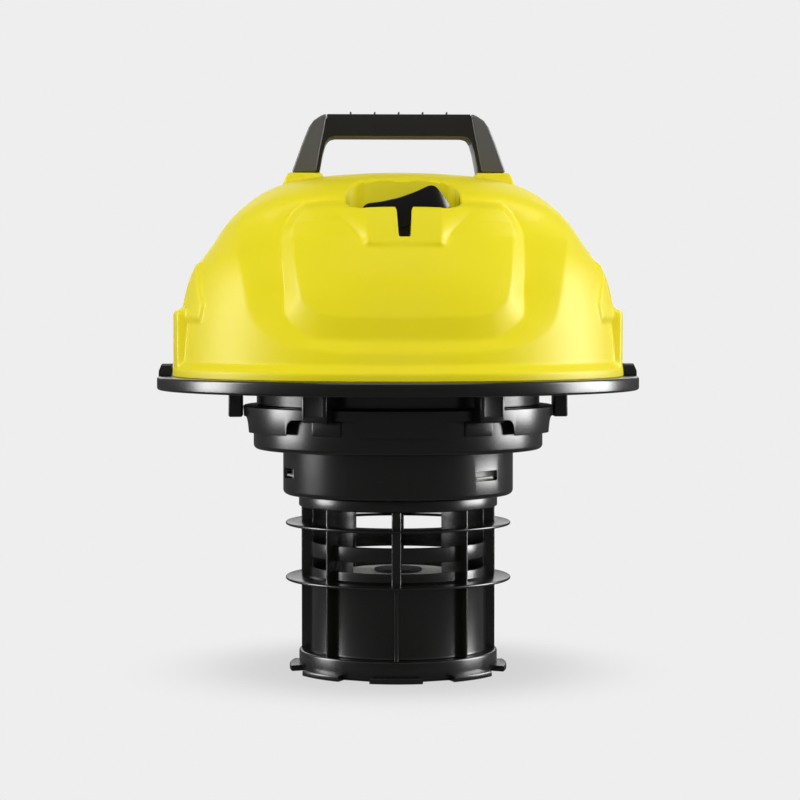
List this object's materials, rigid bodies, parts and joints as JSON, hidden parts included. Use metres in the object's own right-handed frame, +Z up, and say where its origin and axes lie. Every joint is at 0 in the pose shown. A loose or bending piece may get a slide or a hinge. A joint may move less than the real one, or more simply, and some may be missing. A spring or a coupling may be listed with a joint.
{
  "type": "shop vacuum motor head",
  "caption": "Motor head of a wet and dry shop vacuum: domed cover with handle and rocker switch, round lid, stepped motor pot, and a filter cage with a float.",
  "frame": {"origin": "on the vertical axis, at the underside of the filter cage's foot tabs", "axes": "+Z up through the handle, -Y towards the switch and the front panel, +X to the right as seen from the front"},
  "size_m": [0.34, 0.34, 0.3928],
  "materials": {
    "yellow_cover": "satin moulded plastic",
    "black_plastic": "satin moulded plastic",
    "handle_plastic": "fine grained moulded plastic",
    "switch_plastic": "satin moulded plastic",
    "grey_plastic": "natural moulded plastic",
    "cream_plastic": "natural moulded plastic",
    "black_rubber": "soft rubber",
    "steel": "zinc plated steel",
    "copper": "varnished copper",
    "carbon": "pressed carbon",
    "foam": "open cell foam"
  },
  "bodies": {
    "head": {"top_cover": "yellow_cover", "lid_plate": "black_plastic", "rim_seal": "black_rubber", "handle_core": "handle_plastic", "handle_strap_left": "handle_plastic", "handle_strap_right": "handle_plastic", "handle_screw_left": "steel", "handle_screw_right": "steel", "exhaust_grille_left": "black_plastic", "exhaust_grille_right": "black_plastic", "blow_port": "black_plastic", "cable_gland": "black_rubber", "cable_clamp": "black_plastic", "switch_body": "black_plastic", "switch_pin": "steel", "motor_shroud": "black_plastic", "sound_foam": "foam", "stator_core": "steel", "stator_coil_front": "copper", "stator_coil_back": "copper", "lower_bearing": "steel", "upper_bearing": "steel", "lower_bracket": "steel", "upper_bracket": "grey_plastic", "brush_holder_left": "steel", "brush_holder_right": "steel", "carbon_brush_left": "carbon", "carbon_brush_right": "carbon", "turbine_housing": "steel", "diffuser": "grey_plastic", "gasket_lower": "black_rubber", "pot_band": "black_plastic", "motor_pot": "black_plastic", "snap_ring": "grey_plastic", "filter_cage": "black_plastic", "cage_floor": "black_plastic", "cover_screw_1": "steel", "cover_screw_2": "steel", "cover_screw_3": "steel", "cover_screw_4": "steel", "cover_screw_5": "steel", "cover_screw_6": "steel"},
    "rocker": {"switch_rocker": "switch_plastic"},
    "rotor": {"armature_core": "steel", "armature_winding_upper": "copper", "armature_winding_lower": "copper", "commutator": "copper", "motor_shaft": "steel", "cooling_fan": "grey_plastic", "impeller": "steel"},
    "float": {"float_body": "cream_plastic", "float_seal": "black_rubber"}
  },
  "joints": [
    {"name": "switch_tilt", "type": "hinge", "parent": "head", "child": "rocker", "pos_m": [0, -0.097, 0.318], "axis": [0, 1, 0], "range_deg": [0, 32.6]},
    {"name": "motor_spin", "type": "hinge", "parent": "head", "child": "rotor", "pos_m": [0, 0, 0.21], "axis": [0, 0, 1], "continuous": true},
    {"name": "float_lift", "type": "slide", "parent": "head", "child": "float", "axis": [0, 0, 1], "range_m": [0, 0.041]}
  ]
}
